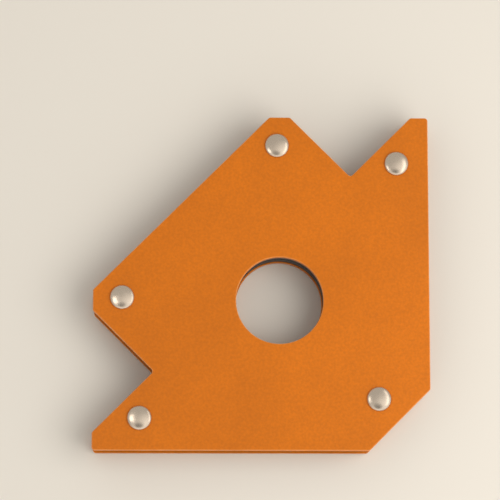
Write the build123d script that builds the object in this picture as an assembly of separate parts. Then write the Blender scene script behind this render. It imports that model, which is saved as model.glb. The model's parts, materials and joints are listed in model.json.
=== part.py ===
"""Arrow-shaped magnetic welding holder: two riveted steel plates over a moulded core of block magnets.

Frame: the origin is on the axis of the centre hole, midway between the plates. +Z is the plates' normal and
the front plate is on top, so the holder lies flat on its rear rivets. The long bottom working edge runs along
X and faces -Y, and the right working edge runs along Y and faces +X.

The outline is given by distances from those two working edges: u is the distance in from the right edge, and
v the distance up from the bottom edge. The holder is its own mirror image about the line u = v.
"""

from build123d import *
from math import sqrt
import os

# Driving dimensions, in millimetres
overall = 105.0  # side of the square that the arrow fills
wing_low = 43.5  # near end of a wing's flat tip, measured from a working edge
wing_high = 50.0  # far end of a wing's flat tip
notch_depth = 19.0  # depth of each right-angled V notch
corner_cut = 19.0  # legs of the cut across the square corner
corner_radius = 1.5  # outer corners of the stamped outline
notch_radius = 1.0  # inner corner of each notch
hole_offset = 46.8  # centre hole, from each working edge
hole_radius = 13.6

plate_thickness = 2.0
core_thickness = 10.0
edge_rounding = 0.35  # rolled and coated edge on the outer side of each plate
core_inset = 1.0  # how far the moulded core stands back from the plates' outline
core_hole_recess = 0.4  # how far it stands back from the centre hole

wing_rivet = (95.9, 47.6)  # u, v of the left wing's rivet
prong_rivet = (90.3, 10.0)  # u, v of the lower prong's rivet
corner_rivet = (16.0, 16.0)
shank_radius = 2.0
rivet_hole_radius = 2.1
head_radius = 3.8
head_rim = 0.2  # height of the head's upright rim
head_height = 1.6
tail_radius = 3.2
tail_height = 1.3
tail_bore_radius = 1.3
tail_bore_depth = 5.0

spacer_radius = 3.25
spacer_clearance = 0.05

magnet_length = 25.0
magnet_width = 10.0
magnet_clearance = 0.1
magnet_rounding = 0.5  # upright edges, ground and plated
magnet_edge_distance = 3.0  # from a working edge to the nearest side of its magnet
magnet_gap = 2.6  # between the two magnets of an edge
bottom_magnet_start = 26.0  # u where the bottom edge's magnets begin
notch_magnet_end = 95.0  # how far out along the u = v direction a notch's magnet reaches

wall = 2.0  # outer wall of the moulded core
pocket_wall = 1.4
boss_wall = 1.6
web_thickness = 1.6  # web left between the two sets of cored-out cavities
smallest_cavity = 12.0  # area in mm2 under which a space is left solid

# Worked out from them
stack = core_thickness / 2 + plate_thickness  # from the mid plane to a plate's outer face
notch_root = (overall - notch_depth, wing_low - notch_depth)
prong_width = notch_root[1] - notch_depth


def place(u, v):
    """The plan position of the point u in from the right edge and v up from the bottom edge."""
    return (hole_offset - u, v - hole_offset)


def both(name_left, name_top, u, v):
    """A named point and its mirror image about the line u = v."""
    return {name_left: (u, v), name_top: (v, u)}


rivets = {
    **both("left_wing", "top_wing", *wing_rivet),
    **both("lower_prong", "upper_prong", *prong_rivet),
    "corner": corner_rivet,
}


def magnet_places():
    """Centre (u, v) and long-axis angle in degrees of each block magnet."""
    edge_centre = magnet_edge_distance + magnet_width / 2
    found = {}
    spacing = magnet_length + magnet_gap
    for place_number, name in enumerate(("inner", "outer")):
        middle = bottom_magnet_start + magnet_length / 2 + place_number * spacing
        found["bottom_" + name] = ((middle, edge_centre), 0)
        found["right_" + name] = ((edge_centre, middle), 90)
    # Along the diagonals it is simpler to use s = (u + v) / sqrt 2 and d = (u - v) / sqrt 2.
    diagonal_s = (overall + wing_high) / sqrt(2) - edge_centre
    diagonal_d = spacing / 2
    notch_s = notch_magnet_end - magnet_length / 2
    notch_d = (overall - wing_low) / sqrt(2) - edge_centre
    for name, s, d, angle in (("diagonal", diagonal_s, diagonal_d, 45), ("notch", notch_s, notch_d, -45)):
        u, v = (s + d) / sqrt(2), (s - d) / sqrt(2)
        found[name + "_left"] = ((u, v), angle)
        found[name + "_top"] = ((v, u), angle)
    return found


def arrow_outline():
    """The stamped outline, as a face on the mid plane."""
    half = [
        (corner_cut, 0),
        (overall, 0),
        (overall, prong_width),
        notch_root,
        (overall, wing_low),
        (overall, wing_high),
    ]
    corners = half + [(v, u) for u, v in reversed(half)]
    outline = make_face(Polyline(*[place(*corner) for corner in corners], close=True))
    for corner in corners:
        radius = notch_radius if corner in (notch_root, notch_root[::-1]) else corner_radius
        outline = fillet(outline.vertices().sort_by_distance(place(*corner))[0], radius)
    return outline


def slab(face, low, high):
    """The face carried from height low to height high."""
    return Pos(0, 0, low) * extrude(face, high - low)


def rivet_holes(radius):
    """Cylinders through the whole stack at the rivets' places."""
    return [Pos(*place(*at)) * Cylinder(radius, 4 * stack) for at in rivets.values()]


def side_plate(front):
    """One stamped plate: the front one, or its mirror image at the rear."""
    face = arrow_outline() - Circle(hole_radius)
    plate = slab(face, core_thickness / 2, stack)
    outer_rim = plate.faces().sort_by(Axis.Z)[-1].edges()
    plate = fillet(outer_rim, edge_rounding)
    plate = plate - rivet_holes(rivet_hole_radius)
    return plate if front else mirror(plate, Plane.XY)


def block(length, width):
    """Function that lays a rectangle of that size at a magnet's place."""
    return lambda at, angle: Pos(*place(*at)) * Rot(0, 0, angle) * Rectangle(length, width)


def magnet_carrier():
    """The moulded core: outer wall, ring round the hole, rivet bosses and magnet pockets, joined by a web."""
    outline = offset(arrow_outline(), -core_inset)
    core_hole = hole_radius + core_hole_recess
    cavity = offset(arrow_outline(), -core_inset - wall)
    cavity -= Circle(core_hole + wall)
    for at in rivets.values():
        cavity -= Pos(*place(*at)) * Circle(spacer_radius + spacer_clearance + boss_wall)
    pocket = block(magnet_length + 2 * magnet_clearance, magnet_width + 2 * magnet_clearance)
    surround = block(
        magnet_length + 2 * (magnet_clearance + pocket_wall),
        magnet_width + 2 * (magnet_clearance + pocket_wall),
    )
    for at, angle in magnet_places().values():
        cavity -= surround(at, angle)
    half = core_thickness / 2
    body = slab(outline - Circle(core_hole), -half, half)
    for room in cavity.faces():
        if room.area > smallest_cavity:
            body -= slab(room, web_thickness / 2, half)
            body -= slab(room, -half, -web_thickness / 2)
    for at, angle in magnet_places().values():
        body -= slab(pocket(at, angle), -half, half)
    return body - rivet_holes(spacer_radius + spacer_clearance)


def rivet():
    """A semi-tubular rivet, set: oval head in front, shank, and the tail rolled outwards at the rear."""
    top = stack + head_height
    rim = stack + head_rim
    roll = (tail_radius - tail_bore_radius) / 2
    roll_middle = (tail_radius + tail_bore_radius) / 2
    roll_height = tail_height - roll
    profile = [
        EllipticalCenterArc((0, rim), head_radius, head_height - head_rim, 90, arc_size=-90),
        Polyline(
            (head_radius, rim),
            (head_radius, stack),
            (shank_radius, stack),
            (shank_radius, -stack),
            (tail_radius, -stack),
            (tail_radius, -stack - roll_height),
        ),
        ThreePointArc(
            (tail_radius, -stack - roll_height),
            (roll_middle, -stack - tail_height),
            (tail_bore_radius, -stack - roll_height),
        ),
        Polyline(
            (tail_bore_radius, -stack - roll_height),
            (tail_bore_radius, tail_bore_depth - stack - tail_height),
            (0, tail_bore_depth + tail_bore_radius / 2 - stack - tail_height),
            (0, top),
        ),
    ]
    return revolve(Plane.XZ * make_face(Curve() + profile), Axis.Z)


def spacer():
    """The tube between the plates that a rivet's shank passes through."""
    tube = Circle(spacer_radius) - Circle(rivet_hole_radius)
    return slab(tube, -core_thickness / 2, core_thickness / 2)


def magnet():
    """A block magnet, with its upright edges rounded."""
    block_edges = Box(magnet_length, magnet_width, core_thickness).edges()
    return fillet(block_edges.filter_by(Axis.Z), magnet_rounding)


def save(shape, name):
    export_step(shape, os.path.join("parts", name + ".step"))


os.makedirs("parts", exist_ok=True)
save(side_plate(front=True), "front_plate")
save(side_plate(front=False), "rear_plate")
save(magnet_carrier(), "magnet_carrier")
for name, at in rivets.items():
    save(Pos(*place(*at)) * rivet(), "rivet_" + name)
    save(Pos(*place(*at)) * spacer(), "spacer_" + name)
for name, (at, angle) in magnet_places().items():
    save(Pos(*place(*at)) * Rot(0, 0, angle) * magnet(), "magnet_" + name)
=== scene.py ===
"""Arrow-shaped magnetic welding holder: coated plates, plated rivets and a moulded core of block magnets.

Laid out as a Blender add-on. Everything is in metres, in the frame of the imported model: the origin is on the
axis of the centre hole, midway between the plates, and +Z points out of the front plate.
"""

import json
from math import cos, pi, radians, sin, tan, tau

import bmesh
import bpy
from bpy.props import FloatProperty, FloatVectorProperty, PointerProperty
from mathutils import Matrix, Vector


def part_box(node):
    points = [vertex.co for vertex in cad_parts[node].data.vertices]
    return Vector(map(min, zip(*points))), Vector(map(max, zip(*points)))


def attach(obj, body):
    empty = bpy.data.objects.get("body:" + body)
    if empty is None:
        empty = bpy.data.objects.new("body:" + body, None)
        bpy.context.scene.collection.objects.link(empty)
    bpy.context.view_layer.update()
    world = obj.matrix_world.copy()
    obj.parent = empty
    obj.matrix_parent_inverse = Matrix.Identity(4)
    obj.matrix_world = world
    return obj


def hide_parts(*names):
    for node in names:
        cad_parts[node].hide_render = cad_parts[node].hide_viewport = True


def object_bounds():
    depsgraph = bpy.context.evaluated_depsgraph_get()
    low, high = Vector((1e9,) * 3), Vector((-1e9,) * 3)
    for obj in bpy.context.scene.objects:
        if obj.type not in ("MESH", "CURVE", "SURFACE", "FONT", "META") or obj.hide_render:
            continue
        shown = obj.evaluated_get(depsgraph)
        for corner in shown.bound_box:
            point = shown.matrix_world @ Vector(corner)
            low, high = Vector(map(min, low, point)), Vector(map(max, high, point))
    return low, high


bl_info = {
    "name": "Welding Magnet Holder",
    "version": (1, 0, 0),
    "blender": (4, 5, 0),
    "location": "View3D > Sidebar > Magnet Holder",
    "description": "Builds the finished pieces of an arrow-shaped magnetic welding holder, and a studio",
    "category": "Add Mesh",
}

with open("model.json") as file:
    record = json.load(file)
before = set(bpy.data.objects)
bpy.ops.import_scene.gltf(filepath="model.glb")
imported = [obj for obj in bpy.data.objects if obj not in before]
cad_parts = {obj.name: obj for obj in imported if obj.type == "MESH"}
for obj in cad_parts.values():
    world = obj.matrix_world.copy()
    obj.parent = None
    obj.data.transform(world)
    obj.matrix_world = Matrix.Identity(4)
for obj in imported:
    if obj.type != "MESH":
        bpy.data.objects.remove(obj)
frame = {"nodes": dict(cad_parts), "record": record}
cad_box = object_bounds()

MM = 0.001
CONTACT = 0.01 * MM  # gap left between touching pieces
SAME_POINT = 0.0005 * MM  # corners nearer than this are one corner
SAME_HEIGHT = 0.0001 * MM  # heights nearer than this are one height
OUTER_SEGMENTS, INNER_SEGMENTS = 5, 3  # facets in a plate's rounded edges, outside and inside
RIVETS = ("left_wing", "top_wing", "lower_prong", "upper_prong", "corner")
# Each block magnet, with the angle of its long side from the X axis, in degrees
MAGNETS = {
    "bottom_inner": 0,
    "bottom_outer": 0,
    "right_inner": 90,
    "right_outer": 90,
    "diagonal_left": 45,
    "diagonal_top": 45,
    "notch_left": -45,
    "notch_top": -45,
}


def linear(hex_colour):
    """The linear RGBA of an sRGB colour such as #D05A00."""
    parts = [int(hex_colour[start : start + 2], 16) / 255 for start in (1, 3, 5)]
    return [part / 12.92 if part <= 0.04045 else ((part + 0.055) / 1.055) ** 2.4 for part in parts] + [1.0]


def mount_size(mount, size):
    """A stated size of one of the record's mounts, in metres."""
    found = next(each for each in frame["record"]["mounts"] if each["name"] == mount)
    return found["dims"][size] * MM


def length(name, default, description):
    """A length property whose default is given in millimetres."""
    return FloatProperty(name=name, description=description, default=default * MM, unit="LENGTH", precision=5)


def colour(name, default, description):
    """A colour property whose default is an sRGB hex value."""
    rgba = linear(default)
    return FloatVectorProperty(name=name, description=description, default=rgba, size=4, subtype="COLOR")


class HolderSizes(bpy.types.PropertyGroup):
    """Sizes of the holder's pieces."""

    wing_low: length("Wing low", 43.5, "From a working edge to the near end of a wing's flat tip")
    wing_high: length("Wing high", 50.0, "From a working edge to the far end of a wing's flat tip")
    notch_depth: length("Notch depth", 19.0, "Depth of each right-angled V notch")
    corner_cut: length("Corner cut", 19.0, "Legs of the cut across the square corner")
    corner_radius: length("Corner radius", 1.5, "Rounding of the stamped outline's outer corners")
    notch_radius: length("Notch radius", 1.0, "Rounding of the inner corner of each notch")
    outer_rounding: length("Outer rounding", 0.35, "Rounding of a plate's edges on its outer side")
    inner_rounding: length("Inner rounding", 0.12, "Rounding of a plate's edges on its inner side")
    rivet_hole: length("Rivet hole radius", 2.1, "Radius of the plates' rivet holes")
    head_radius: length("Rivet head radius", 3.8, "Radius of a rivet's oval head")
    head_rim: length("Rivet head rim", 0.2, "Height of the head's upright rim")
    shank_radius: length("Shank radius", 2.0, "Radius of a rivet's shank")
    tail_radius: length("Tail radius", 3.2, "Outer radius of a rivet's rolled tail")
    tail_bore: length("Tail bore radius", 1.3, "Radius of the hollow in a rivet's tail")
    tail_bore_depth: length("Tail bore depth", 5.0, "Depth of the hollow in a rivet's tail")
    spacer_radius: length("Spacer radius", 3.25, "Outer radius of the tubes between the plates")
    magnet_rounding: length("Magnet rounding", 0.5, "Rounding of a block magnet's plated edges")
    flash: length("Mould flash", 0.1, "How far the core's parting line stands proud")
    flash_width: length("Flash width", 0.24, "Width of the core's parting line")


class HolderFinishes(bpy.types.PropertyGroup):
    """Colours and grains of the holder's materials."""

    paint: colour("Powder coat", "#D27103", "Colour of the powder-coated plates")
    plastic: colour("Core plastic", "#1B1B1D", "Colour of the moulded core")
    nickel: colour("Nickel", "#D2C5B7", "Colour of the rivets' bright nickel plating")
    magnet_plating: colour("Magnet plating", "#B9B5AC", "Colour of the magnets' satin nickel plating")
    aluminium: colour("Aluminium", "#C9CBCE", "Colour of the spacer tubes")
    # Part the thin coat's own colour, part a painted highlight on the rounded edges.
    thin_coat_and_highlight: colour("Thin coat", "#F2B070", "Colour of the coat where it is thin on an edge")
    peel_size: length("Orange peel", 1.6, "Width of a ripple in the powder coat")
    coat_roughness: FloatProperty(
        name="Coat roughness", description="Roughness of the semi-gloss coat", default=0.34, subtype="FACTOR"
    )


class StudioSettings(bpy.types.PropertyGroup):
    """Camera, floor and lights."""

    camera_place: FloatVectorProperty(
        name="Camera place",
        description="Where the camera stands, from the centre hole's axis and the middle of the plates",
        default=(-0.0284, -0.1030, 0.7673),
        subtype="TRANSLATION",
        unit="LENGTH",
    )
    camera_pitch: FloatProperty(
        name="Pitch", description="How far the view leans towards +Y", default=radians(8.88), unit="ROTATION"
    )
    camera_yaw: FloatProperty(
        name="Yaw", description="How far the view leans towards +X", default=radians(1.44), unit="ROTATION"
    )
    camera_lens: FloatProperty(
        name="Lens", description="Focal length on a 36 mm wide sensor", default=177.3, unit="CAMERA"
    )
    floor_size: FloatProperty(name="Floor", description="Side of the floor", default=6.0, unit="LENGTH")
    floor_colour: colour("Floor colour", "#E4E1DC", "Colour of the pale floor")
    air_colour: colour("Surroundings", "#F7F1E7", "Colour of the light from all round")
    air_strength: FloatProperty(
        name="Surroundings strength", description="Light from all round", default=0.66
    )
    glow_strength: FloatProperty(
        name="Low glow", description="Extra light from low down in front", default=0.6
    )
    skylight_strength: FloatProperty(
        name="Skylight", description="Extra light from overhead on the right", default=0.25
    )
    key_power: FloatProperty(
        name="Key", description="Power of the overhead softbox", default=0.83, unit="POWER"
    )
    card_power: FloatProperty(
        name="Cards", description="Mean power of the two cards seen in the metal", default=0.045, unit="POWER"
    )


# Mesh helpers


def arc(centre, radius, start, end, steps):
    """Points on an arc in the r, z section plane, from the start angle to the end angle, in degrees."""
    angles = [radians(start + (end - start) * step / steps) for step in range(steps + 1)]
    return [(centre[0] + radius * cos(angle), centre[1] + radius * sin(angle)) for angle in angles]


def spun(bm, section, centre, steps):
    """Spins a section, given as (r, z) points, a whole turn about the upright axis through centre."""
    verts = [bm.verts.new((centre.x + r, centre.y, z)) for r, z in section]
    edges = [bm.edges.new(pair) for pair in zip(verts, verts[1:])]
    axis = (centre.x, centre.y, 0)
    bmesh.ops.spin(bm, geom=verts + edges, cent=axis, axis=(0, 0, 1), angle=tau, steps=steps, use_merge=True)


def middle(node):
    """The centre of a CAD node's box."""
    low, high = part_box(node)
    return (low + high) / 2


def finish_piece(bm, name, material, node, sharp=40):
    """Makes the mesh a piece of the holder that stands for a CAD node.

    Its faces point outwards and are shaded smooth, apart from edges that turn by more than sharp degrees.
    """
    bmesh.ops.remove_doubles(bm, verts=bm.verts, dist=SAME_POINT)
    bmesh.ops.recalc_face_normals(bm, faces=bm.faces)
    bm.normal_update()
    for face in bm.faces:
        face.smooth = True
    for edge in bm.edges:
        edge.smooth = edge.calc_face_angle(0) < radians(sharp)
    mesh = bpy.data.meshes.new(name)
    bm.to_mesh(mesh)
    bm.free()
    mesh.materials.append(material)
    piece = bpy.data.objects.new(name, mesh)
    bpy.context.scene.collection.objects.link(piece)
    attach(piece, "root")
    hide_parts(node)


def arrow_corners(sizes):
    """The stamped outline's corners in plan, before they are rounded.

    They are worked out as distances in from the right working edge and up from the bottom one. Half of them
    are the other half's mirror image.
    """
    low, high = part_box("front_plate")
    side = high.x - low.x
    prong = sizes.wing_low - 2 * sizes.notch_depth
    half = [
        (sizes.corner_cut, 0),
        (side, 0),
        (side, prong),
        (side - sizes.notch_depth, prong + sizes.notch_depth),
        (side, sizes.wing_low),
        (side, sizes.wing_high),
    ]
    corners = half + [(v, u) for u, v in reversed(half)]
    return [(high.x - u, low.y + v) for u, v in corners]


def arrow_face(bm, sizes, z, segments=8):
    """The flat arrow at height z, with its outer and inner corners rounded."""
    face = bm.faces.new([bm.verts.new((x, y, z)) for x, y in arrow_corners(sizes)])
    alike = {}
    for loop in face.loops:
        alike.setdefault((loop.is_convex, round(loop.calc_angle(), 3)), []).append(loop.vert)
    for (outer, angle), corners in alike.items():
        radius = sizes.corner_radius if outer else sizes.notch_radius
        bmesh.ops.bevel(
            bm,
            geom=corners,
            offset=radius / tan(angle / 2),
            offset_type="OFFSET",
            segments=segments,
            profile=0.5,
            affect="VERTICES",
            clamp_overlap=False,
            material=-1,
        )
    bm.faces.ensure_lookup_table()
    return bm.faces[0]


def edges_at(bm, z):
    """Edges that lie in the level plane at height z."""
    return [edge for edge in bm.edges if all(abs(vert.co.z - z) < SAME_HEIGHT for vert in edge.verts)]


def round_edges(bm, edges, radius, segments):
    """Rounds edges over to a radius."""
    bmesh.ops.bevel(
        bm,
        geom=edges,
        offset=radius,
        offset_type="OFFSET",
        segments=segments,
        profile=0.5,
        affect="EDGES",
        clamp_overlap=False,
        material=-1,
    )


def caps_at(bm, z):
    """Faces that lie in the level plane at height z."""
    return [face for face in bm.faces if all(abs(vert.co.z - z) < SAME_HEIGHT for vert in face.verts)]


def hole_section(radius, outer, inner, sizes, margin):
    """Upright section through a hole's wall, with its rounded edges and a narrow flat rim at each end."""
    turn = 1 if outer > inner else -1
    big, small = sizes.outer_rounding, sizes.inner_rounding
    outer_arc = arc((radius + big, outer - turn * big), big, 90 * turn, 180 * turn, OUTER_SEGMENTS)
    inner_arc = arc((radius + small, inner + turn * small), small, 180 * turn, 270 * turn, INNER_SEGMENTS)
    return [(radius + big + margin, outer)] + outer_arc + inner_arc + [(radius + small + margin, inner)]


def stamped_plate(name, node, sizes, material):
    """A plate stamped from sheet: outer edges rounded over, inner edges barely broken, and round holes."""
    low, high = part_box(node)
    outer, inner = (high.z, low.z) if high.z > 0 else (low.z, high.z)
    margin = 0.12 * MM  # flat rim that keeps the rounded edges' shading off the flat faces
    bm = bmesh.new()
    face = arrow_face(bm, sizes, outer)
    extruded = bmesh.ops.extrude_face_region(bm, geom=[face])["geom"]
    moved = [item for item in extruded if isinstance(item, bmesh.types.BMVert)]
    bmesh.ops.translate(bm, verts=moved, vec=(0, 0, inner - outer))
    bmesh.ops.recalc_face_normals(bm, faces=bm.faces)
    for z, radius, segments in (
        (outer, sizes.outer_rounding, OUTER_SEGMENTS),
        (inner, sizes.inner_rounding, INNER_SEGMENTS),
    ):
        round_edges(bm, edges_at(bm, z), radius, segments)
        bmesh.ops.inset_region(bm, faces=caps_at(bm, z), thickness=margin, use_even_offset=True)
        cap = max(caps_at(bm, z), key=lambda found: found.calc_area())
        bmesh.ops.delete(bm, geom=[cap], context="FACES_ONLY")
    centre_hole = hole_section(mount_size("centre_hole", "r_mm"), outer, inner, sizes, margin)
    spun(bm, centre_hole, Vector(), steps=144)
    for rivet in RIVETS:
        rivet_hole = hole_section(sizes.rivet_hole, outer, inner, sizes, margin)
        spun(bm, rivet_hole, middle("rivet_" + rivet), steps=48)
    bmesh.ops.remove_doubles(bm, verts=bm.verts, dist=SAME_POINT)
    for z in (outer, inner):
        rims = [edge for edge in edges_at(bm, z) if len(edge.link_faces) == 1]
        bmesh.ops.triangle_fill(bm, edges=rims, use_beauty=True, normal=(0, 0, 1))
    finish_piece(bm, name, material, node)


def set_rivet(name, node, sizes, material):
    """A semi-tubular rivet after setting: domed head, shank, and the hollow tail rolled outwards."""
    low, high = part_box(node)
    front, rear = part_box("front_plate")[1].z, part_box("rear_plate")[0].z
    rim = front + sizes.head_rim
    under = 0.1 * MM  # undercut that leaves a dark line round the head
    taper = 0.02 * MM  # how far the rim draws in before the undercut
    facets = 24  # from the top of the head to its rim
    section = [
        (sizes.head_radius * sin(angle), rim + (high.z - rim) * cos(angle))
        for angle in (pi / 2 * step / facets for step in range(facets + 1))
    ]
    shoulder_height, shoulder_width = 0.1 * MM, 0.2 * MM  # where the tail's roll meets the plate
    section += [
        (sizes.head_radius - taper, rim - under),
        (sizes.head_radius - under, front + CONTACT),
        (sizes.shank_radius, front + CONTACT),
        (sizes.shank_radius, rear - CONTACT),
        (sizes.tail_radius - shoulder_width, rear - CONTACT),
    ]
    roll = (sizes.tail_radius - sizes.tail_bore) / 2
    roll_middle = (sizes.tail_radius + sizes.tail_bore) / 2
    roll_top = rear - shoulder_height
    section += [
        (roll_middle + roll * cos(radians(angle)), roll_top - (roll_top - low.z) * sin(radians(angle)))
        for angle in range(0, 181, 15)
    ]
    throat = sizes.tail_bore - 0.1 * MM  # radius of the hollow above the roll
    throat_height = 0.5 * MM  # how far into the stack the hollow has narrowed to it
    bore_top = low.z + sizes.tail_bore_depth
    section += [
        (throat, rear + throat_height),
        (throat, bore_top),
        (0, bore_top + sizes.tail_bore / 2),
    ]
    bm = bmesh.new()
    spun(bm, section, middle(node), steps=64)
    finish_piece(bm, name, material, node, sharp=50)


def ring_through(start):
    """The corners joined to start by level edges."""
    found, waiting = {start}, [start]
    while waiting:
        vert = waiting.pop()
        for edge in vert.link_edges:
            other = edge.other_vert(vert)
            if other not in found and abs(other.co.z - vert.co.z) < SAME_HEIGHT:
                found.add(other)
                waiting.append(other)
    return found


def core_moulding(name, node, sizes, material):
    """The moulded core, with the parting line that its mould leaves round the outer wall and the hole's."""
    bm = bmesh.new()
    bm.from_mesh(frame["nodes"][node].data)
    # The copy's loose triangles are joined, and its flat faces made whole again.
    bmesh.ops.remove_doubles(bm, verts=bm.verts, dist=0.002 * MM)
    bmesh.ops.dissolve_limit(bm, angle_limit=radians(0.5), verts=bm.verts, edges=bm.edges)
    for z in (-sizes.flash_width / 2, 0, sizes.flash_width / 2):
        whole = bm.verts[:] + bm.edges[:] + bm.faces[:]
        bmesh.ops.bisect_plane(bm, geom=whole, dist=SAME_HEIGHT, plane_co=(0, 0, z), plane_no=(0, 0, 1))
    bm.normal_update()
    level = [vert for vert in bm.verts if abs(vert.co.z) < SAME_HEIGHT]
    outside = ring_through(min(level, key=lambda vert: vert.co.x))
    inside = ring_through(min(level, key=lambda vert: vert.co.length))
    for vert in outside | inside:
        vert.co += vert.normal * sizes.flash
    finish_piece(bm, name, material, node, sharp=30)


def spacer_tube(name, node, sizes, material):
    """A length of drawn tube, cut off square and deburred."""
    low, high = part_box(node)
    bore, outer = sizes.rivet_hole, sizes.spacer_radius
    edge = 0.15 * MM  # width of the deburred edges
    section = [
        (bore + edge, low.z),
        (outer - edge, low.z),
        (outer, low.z + edge),
        (outer, high.z - edge),
        (outer - edge, high.z),
        (bore + edge, high.z),
        (bore, high.z - edge),
        (bore, low.z + edge),
        (bore + edge, low.z),
    ]
    bm = bmesh.new()
    spun(bm, section, middle(node), steps=48)
    finish_piece(bm, name, material, node)


def block_magnet(name, node, angle, sizes, material):
    """A pressed and sintered block, ground square and plated, with rounded edges."""
    # This magnet lies along X, so its box has the size of every block.
    low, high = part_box("magnet_bottom_inner")
    bm = bmesh.new()
    bmesh.ops.create_cube(bm, size=1)
    bmesh.ops.scale(bm, vec=high - low, verts=bm.verts)
    round_edges(bm, bm.edges[:], sizes.magnet_rounding, segments=4)
    turned = Matrix.Translation(middle(node)) @ Matrix.Rotation(radians(angle), 4, "Z")
    bmesh.ops.transform(bm, matrix=turned, verts=bm.verts)
    finish_piece(bm, name, material, node)


# Materials


# Nearly all of a noise's values lie in this span, which Map Range nodes stretch to the one they give.
NOISE_SPAN = {"From Min": 0.3, "From Max": 0.7}
MIX_FIRST, MIX_SECOND = 6, 7  # inputs of a Mix node that hold its two colours


def add_node(tree, kind, inputs=None, **settings):
    """Adds a node with its settings, and fills its inputs with values, other nodes or their outputs."""
    node = tree.nodes.new(kind)
    for name, value in settings.items():
        setattr(node, name, value)
    for socket, value in (inputs or {}).items():
        if isinstance(value, bpy.types.Node):
            value = next(output for output in value.outputs if output.enabled)
        if isinstance(value, bpy.types.NodeSocket):
            tree.links.new(value, node.inputs[socket])
        else:
            node.inputs[socket].default_value = value
    return node


def new_material(name):
    """An empty material, with its node tree."""
    material = bpy.data.materials.new(name)
    material.use_nodes = True
    material.node_tree.nodes.clear()
    return material, material.node_tree


def shade(rgba, factor):
    """The same colour made darker or lighter."""
    return [part * factor for part in rgba[:3]] + [1.0]


def powder_coated_steel(finishes):
    """Polyester powder coat baked on stamped mild steel: deep orange with a soft sheen and faint peel.

    The film draws back from the sheared edges as it melts, so it is thinner there. The paler tint on the
    rounded edges is part that thin coat and part painted highlight, standing in for the gleam of light along
    them.
    """
    material, tree = new_material("powder_coated_steel")
    coordinates = add_node(tree, "ShaderNodeTexCoord").outputs
    place = coordinates["Object"]

    ripples = {"Scale": 1 / finishes.peel_size, "Detail": 1.0}
    peel = add_node(tree, "ShaderNodeTexNoise", {"Vector": place, **ripples})
    # The powder's own grain is about 0.1 mm. It is drawn at 0.8 mm so that it shows.
    grain = add_node(tree, "ShaderNodeTexNoise", {"Vector": place, "Scale": 1 / (0.8 * MM), "Detail": 2.0})
    # The spray gun leaves clouds about 30 mm wide in the film, broken up down to about 2 mm.
    spray = {"Scale": 1 / (30 * MM), "Detail": 4.0, "Roughness": 0.65}
    film = add_node(tree, "ShaderNodeTexNoise", {"Vector": place, **spray})
    # On an edge the pale tint, part thin coat and part painted highlight, comes and goes in stretches about 6
    # mm long.
    thin = add_node(tree, "ShaderNodeTexNoise", {"Vector": place, "Scale": 1 / (6 * MM), "Detail": 2.0})

    clouds = add_node(tree, "ShaderNodeMapRange", {"Value": film, **NOISE_SPAN})
    deep, bright = shade(finishes.paint, 0.92), shade(finishes.paint, 1.08)
    paint = add_node(
        tree, "ShaderNodeMix", {"Factor": clouds, MIX_FIRST: deep, MIX_SECOND: bright}, data_type="RGBA"
    )
    specks = add_node(tree, "ShaderNodeMapRange", {"Value": grain, **NOISE_SPAN, "To Max": 0.28})
    dark = shade(finishes.paint, 0.5)
    coat = add_node(
        tree, "ShaderNodeMix", {"Factor": specks, MIX_FIRST: paint, MIX_SECOND: dark}, data_type="RGBA"
    )

    # With z for the normal's height, 4 z² (1 - z²) is 0 on the flats and the side walls, and 1 halfway round
    # a rounded edge.
    lean = add_node(tree, "ShaderNodeSeparateXYZ", {"Vector": coordinates["Normal"]}).outputs["Z"]
    squared = add_node(tree, "ShaderNodeMath", {0: lean, 1: lean}, operation="MULTIPLY")
    fourfold = add_node(tree, "ShaderNodeMath", {0: 4.0, 1: squared}, operation="MULTIPLY")
    left = add_node(tree, "ShaderNodeMath", {0: 1.0, 1: squared}, operation="SUBTRACT")
    rounded = add_node(tree, "ShaderNodeMath", {0: fourfold, 1: left}, operation="MULTIPLY")
    # Painted highlight: the rounded edges are mixed towards a pale colour, part for the thinner coat and part
    # as a painted gleam of light along them.
    pale_edge_strength = add_node(tree, "ShaderNodeMapRange", {"Value": thin, **NOISE_SPAN, "To Min": 0.25, "To Max": 0.6})
    thin_coat_and_highlight_mask = add_node(tree, "ShaderNodeMath", {0: rounded, 1: pale_edge_strength}, operation="MULTIPLY")
    pale = list(finishes.thin_coat_and_highlight)
    tint = add_node(
        tree, "ShaderNodeMix", {"Factor": thin_coat_and_highlight_mask, MIX_FIRST: coat, MIX_SECOND: pale}, data_type="RGBA"
    )

    sheen = {"To Min": finishes.coat_roughness - 0.04, "To Max": finishes.coat_roughness + 0.04}
    dull = add_node(tree, "ShaderNodeMapRange", {"Value": grain, **NOISE_SPAN, **sheen})
    rippled = add_node(tree, "ShaderNodeBump", {"Height": peel, "Distance": 0.04 * MM})
    grained = add_node(tree, "ShaderNodeBump", {"Height": grain, "Distance": 0.006 * MM, "Normal": rippled})
    film_shader = add_node(
        tree,
        "ShaderNodeBsdfPrincipled",
        {"Base Color": tint, "Roughness": dull, "IOR": 1.5, "Specular IOR Level": 0.3, "Normal": grained},
    )
    add_node(tree, "ShaderNodeOutputMaterial", {"Surface": film_shader})
    return material


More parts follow.
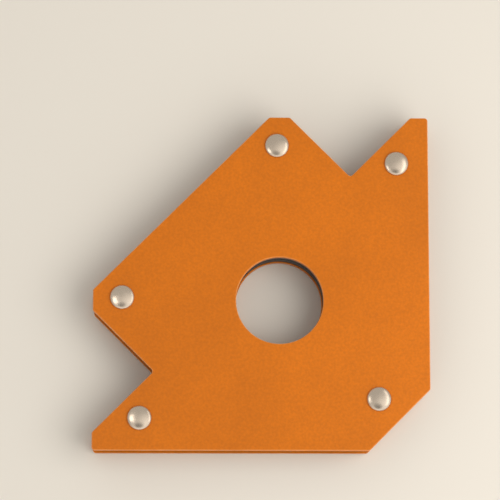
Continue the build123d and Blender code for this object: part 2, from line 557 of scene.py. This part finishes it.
def bright_nickel(finishes):
    """Nickel barrel-plated on cold-headed steel: bright and warm, with the satin that tumbling leaves."""
    material, tree = new_material("bright_nickel_plate")
    place = add_node(tree, "ShaderNodeTexCoord").outputs["Object"]
    # The marks of tumbling are about 0.3 mm wide. They are drawn at 1.2 mm so that they show.
    tumbled = add_node(tree, "ShaderNodeTexNoise", {"Vector": place, "Scale": 1 / (1.2 * MM), "Detail": 1.0})
    # Knocks in the barrel leave shallow dents about 1.5 mm across.
    dents = add_node(tree, "ShaderNodeTexNoise", {"Vector": place, "Scale": 1 / (1.5 * MM), "Detail": 1.0})
    sheen = {"To Min": 0.25, "To Max": 0.31}
    satin = add_node(tree, "ShaderNodeMapRange", {"Value": tumbled, **NOISE_SPAN, **sheen})
    dented = add_node(tree, "ShaderNodeBump", {"Height": dents, "Distance": 0.01 * MM})
    metal = add_node(
        tree,
        "ShaderNodeBsdfPrincipled",
        {"Base Color": list(finishes.nickel), "Metallic": 1.0, "Roughness": satin, "Normal": dented},
    )
    add_node(tree, "ShaderNodeOutputMaterial", {"Surface": metal})
    return material


def moulded_abs(finishes):
    """Black ABS from a spark-eroded mould: dark, with a fine matt texture that breaks up every reflection."""
    material, tree = new_material("moulded_black_abs")
    place = add_node(tree, "ShaderNodeTexCoord").outputs["Object"]
    # A spark-eroded texture is about 0.1 mm. It is drawn at 0.45 mm so that it shows.
    texture = add_node(tree, "ShaderNodeTexNoise", {"Vector": place, "Scale": 1 / (0.45 * MM), "Detail": 2.0})
    specks = add_node(tree, "ShaderNodeMapRange", {"Value": texture, **NOISE_SPAN})
    dark, pale = shade(finishes.plastic, 0.75), shade(finishes.plastic, 1.4)
    tint = add_node(
        tree, "ShaderNodeMix", {"Factor": specks, MIX_FIRST: dark, MIX_SECOND: pale}, data_type="RGBA"
    )
    sheen = {"To Min": 0.42, "To Max": 0.6}
    matt = add_node(tree, "ShaderNodeMapRange", {"Value": texture, **NOISE_SPAN, **sheen})
    eroded = add_node(tree, "ShaderNodeBump", {"Height": texture, "Distance": 0.06 * MM})
    plastic = add_node(
        tree,
        "ShaderNodeBsdfPrincipled",
        {"Base Color": tint, "Roughness": matt, "IOR": 1.54, "Normal": eroded},
    )
    add_node(tree, "ShaderNodeOutputMaterial", {"Surface": plastic})
    return material


def satin_nickel(finishes):
    """Nickel plated over a sintered and ground magnet: satin, with the fine grain that grinding leaves."""
    material, tree = new_material("satin_nickel_plate")
    place = add_node(tree, "ShaderNodeTexCoord").outputs["Object"]
    # The grain is about 0.1 mm. It is drawn at 0.5 mm so that it shows.
    ground = add_node(tree, "ShaderNodeTexNoise", {"Vector": place, "Scale": 1 / (0.5 * MM), "Detail": 3.0})
    sheen = {"To Min": 0.25, "To Max": 0.4}
    satin = add_node(tree, "ShaderNodeMapRange", {"Value": ground, **NOISE_SPAN, **sheen})
    grained = add_node(tree, "ShaderNodeBump", {"Height": ground, "Distance": 0.004 * MM})
    metal = add_node(
        tree,
        "ShaderNodeBsdfPrincipled",
        {"Base Color": list(finishes.magnet_plating), "Metallic": 1.0, "Roughness": satin, "Normal": grained},
    )
    add_node(tree, "ShaderNodeOutputMaterial", {"Surface": metal})
    return material


def drawn_aluminium(finishes):
    """Aluminium tube as drawn: pale and dull, with long faint die lines."""
    material, tree = new_material("drawn_aluminium")
    place = add_node(tree, "ShaderNodeTexCoord").outputs["Object"]
    # Die lines are about 0.1 mm wide. They are drawn at 0.3 mm so that they show, and 20 times as long.
    stretched = add_node(tree, "ShaderNodeMapping", {"Vector": place, "Scale": (1.0, 1.0, 0.05)})
    width = {"Scale": 1 / (0.3 * MM), "Detail": 2.0}
    lines = add_node(tree, "ShaderNodeTexNoise", {"Vector": stretched, **width})
    sheen = {"To Min": 0.3, "To Max": 0.45}
    dull = add_node(tree, "ShaderNodeMapRange", {"Value": lines, **NOISE_SPAN, **sheen})
    scored = add_node(tree, "ShaderNodeBump", {"Height": lines, "Distance": 0.005 * MM})
    metal = add_node(
        tree,
        "ShaderNodeBsdfPrincipled",
        {"Base Color": list(finishes.aluminium), "Metallic": 1.0, "Roughness": dull, "Normal": scored},
    )
    add_node(tree, "ShaderNodeOutputMaterial", {"Surface": metal})
    return material


def studio_floor(studio):
    """Pale matt board: nearly even, so that only the holder's soft shadow shows on it."""
    material, tree = new_material("pale_matt_board")
    place = add_node(tree, "ShaderNodeTexCoord").outputs["Object"]
    # Its fibres gather in patches about 4 mm wide.
    fibre = add_node(tree, "ShaderNodeTexNoise", {"Vector": place, "Scale": 1 / (4 * MM), "Detail": 3.0})
    matt = add_node(tree, "ShaderNodeMapRange", {"Value": fibre, **NOISE_SPAN, "To Min": 0.8, "To Max": 0.9})
    board = add_node(
        tree,
        "ShaderNodeBsdfPrincipled",
        {"Base Color": list(studio.floor_colour), "Roughness": matt, "Specular IOR Level": 0.2},
    )
    add_node(tree, "ShaderNodeOutputMaterial", {"Surface": board})
    return material


# Operators, one for each group of pieces


class HOLDER_OT_side_plates(bpy.types.Operator):
    """Stamp, pierce and coat the front and rear plates"""

    bl_idname = "magnet_holder.side_plates"
    bl_label = "Side Plates"

    def execute(self, context):
        sizes, finishes = context.scene.holder_sizes, context.scene.holder_finishes
        paint = powder_coated_steel(finishes)
        stamped_plate("front_plate_coated", "front_plate", sizes, paint)
        stamped_plate("rear_plate_coated", "rear_plate", sizes, paint)
        return {"FINISHED"}


class HOLDER_OT_core(bpy.types.Operator):
    """Mould the black core that holds the magnets"""

    bl_idname = "magnet_holder.core"
    bl_label = "Moulded Core"

    def execute(self, context):
        sizes, finishes = context.scene.holder_sizes, context.scene.holder_finishes
        core_moulding("core_moulding", "magnet_carrier", sizes, moulded_abs(finishes))
        return {"FINISHED"}


class HOLDER_OT_magnets(bpy.types.Operator):
    """Put the block magnets in the core's pockets"""

    bl_idname = "magnet_holder.magnets"
    bl_label = "Block Magnets"

    def execute(self, context):
        sizes, finishes = context.scene.holder_sizes, context.scene.holder_finishes
        plating = satin_nickel(finishes)
        for name, angle in MAGNETS.items():
            block_magnet("block_magnet_" + name, "magnet_" + name, angle, sizes, plating)
        return {"FINISHED"}


class HOLDER_OT_spacers(bpy.types.Operator):
    """Cut the tubes that keep the plates apart"""

    bl_idname = "magnet_holder.spacers"
    bl_label = "Spacer Tubes"

    def execute(self, context):
        sizes, finishes = context.scene.holder_sizes, context.scene.holder_finishes
        aluminium = drawn_aluminium(finishes)
        for name in RIVETS:
            spacer_tube("spacer_tube_" + name, "spacer_" + name, sizes, aluminium)
        return {"FINISHED"}


class HOLDER_OT_rivets(bpy.types.Operator):
    """Set the rivets through both plates"""

    bl_idname = "magnet_holder.rivets"
    bl_label = "Rivets"

    def execute(self, context):
        sizes, finishes = context.scene.holder_sizes, context.scene.holder_finishes
        nickel = bright_nickel(finishes)
        for name in RIVETS:
            set_rivet("set_rivet_" + name, "rivet_" + name, sizes, nickel)
        return {"FINISHED"}


def softbox(name, place, size, power):
    """A rectangular area light that faces the holder."""
    light = bpy.data.lights.new(name, "AREA")
    light.shape = "RECTANGLE"
    light.size, light.size_y = size
    light.energy = power
    light.color = bpy.context.scene.holder_studio.air_colour[:3]
    lamp = bpy.data.objects.new(name, light)
    lamp.location = place
    lamp.rotation_euler = (-Vector(place)).to_track_quat("-Z", "Y").to_euler()
    lamp.visible_camera = False
    bpy.context.scene.collection.objects.link(lamp)
    return lamp


def soft_patch(tree, way, facing, inner, outer, strength):
    """The given strength within inner degrees of the way it faces, falling softly to 0 at outer degrees."""
    centre_way = Vector(facing).normalized()
    between = add_node(tree, "ShaderNodeVectorMath", {0: way, 1: centre_way}, operation="DOT_PRODUCT")
    limits = {"From Min": cos(radians(outer)), "From Max": cos(radians(inner)), "To Max": strength}
    return add_node(tree, "ShaderNodeMapRange", {"Value": between, **limits}, interpolation_type="SMOOTHSTEP")


def surroundings(studio):
    """A pale room, softly lit, brighter low down in front, and dim where the camera's stand would be."""
    world = bpy.data.worlds.new("surroundings")
    world.use_nodes = True
    tree = world.node_tree
    tree.nodes.clear()
    way = add_node(tree, "ShaderNodeTexCoord").outputs["Generated"]
    low_glow = soft_patch(
        tree, way, facing=(0.45, -0.85, 0.3), inner=25, outer=90, strength=studio.glow_strength
    )
    skylight = soft_patch(
        tree, way, facing=(0.45, -0.15, 0.88), inner=0, outer=40, strength=studio.skylight_strength
    )
    stand = soft_patch(tree, way, facing=(-0.04, -0.55, 0.83), inner=8, outer=25, strength=0.8)
    room = add_node(tree, "ShaderNodeMath", {0: studio.air_strength, 1: low_glow}, operation="ADD")
    lit = add_node(tree, "ShaderNodeMath", {0: room, 1: skylight}, operation="ADD")
    open_share = add_node(tree, "ShaderNodeMath", {0: 1.0, 1: stand}, operation="SUBTRACT")
    strength = add_node(tree, "ShaderNodeMath", {0: lit, 1: open_share}, operation="MULTIPLY")
    sky = add_node(tree, "ShaderNodeBackground", {"Color": list(studio.air_colour), "Strength": strength})
    add_node(tree, "ShaderNodeOutputWorld", {"Surface": sky})
    return world


class HOLDER_OT_studio(bpy.types.Operator):
    """Set up the camera, the pale floor and the soft lights"""

    bl_idname = "magnet_holder.studio"
    bl_label = "Studio"

    def execute(self, context):
        scene, studio = context.scene, context.scene.holder_studio
        lens = bpy.data.cameras.new("camera")
        lens.sensor_width = 36
        lens.lens = studio.camera_lens
        camera = bpy.data.objects.new("camera", lens)
        camera.location = studio.camera_place
        camera.rotation_euler = (studio.camera_pitch, -studio.camera_yaw, 0)
        scene.collection.objects.link(camera)
        scene.camera = camera

        bm = bmesh.new()
        bmesh.ops.create_grid(bm, x_segments=1, y_segments=1, size=studio.floor_size / 2)
        bmesh.ops.translate(bm, verts=bm.verts, vec=(0, 0, cad_box[0][2]))
        mesh = bpy.data.meshes.new("floor")
        bm.to_mesh(mesh)
        bm.free()
        mesh.materials.append(studio_floor(studio))
        floor = bpy.data.objects.new("floor", mesh)
        scene.collection.objects.link(floor)

        scene.world = surroundings(studio)
        scene.view_settings.view_transform = "Standard"

        # The softbox only gives light, and is not seen in the metal. The cards only show as gleams in it and
        # in the coat.
        key = softbox("key_softbox", place=(0.22, -0.06, 0.34), size=(0.32, 0.32), power=studio.key_power)
        key.visible_glossy = False
        for name, place, size, share in (
            ("left_card", (-0.150, -0.030, 0.150), (0.09, 0.09), 1.25),
            ("right_card", (0.125, 0.010, 0.105), (0.20, 0.045), 0.75),
        ):
            softbox(name, place, size, share * studio.card_power).visible_diffuse = False
        return {"FINISHED"}


class HOLDER_PT_panel(bpy.types.Panel):
    """Lists the steps that build the holder"""

    bl_label = "Magnet Holder"
    bl_idname = "HOLDER_PT_panel"
    bl_space_type = "VIEW_3D"
    bl_region_type = "UI"
    bl_category = "Magnet Holder"

    def draw(self, context):
        for step in STEPS:
            self.layout.operator(step.bl_idname)
        for group in (context.scene.holder_sizes, context.scene.holder_finishes, context.scene.holder_studio):
            column = self.layout.column()
            for name in group.__annotations__:
                column.prop(group, name)


STEPS = (
    HOLDER_OT_studio,
    HOLDER_OT_side_plates,
    HOLDER_OT_core,
    HOLDER_OT_magnets,
    HOLDER_OT_spacers,
    HOLDER_OT_rivets,
)
SETTINGS = {"holder_sizes": HolderSizes, "holder_finishes": HolderFinishes, "holder_studio": StudioSettings}


def register():
    for cls in (*SETTINGS.values(), *STEPS, HOLDER_PT_panel):
        bpy.utils.register_class(cls)
    for name, group in SETTINGS.items():
        setattr(bpy.types.Scene, name, PointerProperty(type=group))


def unregister():
    for name in SETTINGS:
        delattr(bpy.types.Scene, name)
    for cls in reversed((*SETTINGS.values(), *STEPS, HOLDER_PT_panel)):
        bpy.utils.unregister_class(cls)


def main():
    register()
    bpy.ops.magnet_holder.studio()
    bpy.ops.magnet_holder.side_plates()
    bpy.ops.magnet_holder.core()
    bpy.ops.magnet_holder.magnets()
    bpy.ops.magnet_holder.spacers()
    bpy.ops.magnet_holder.rivets()


if __name__ == "__main__":
    main()
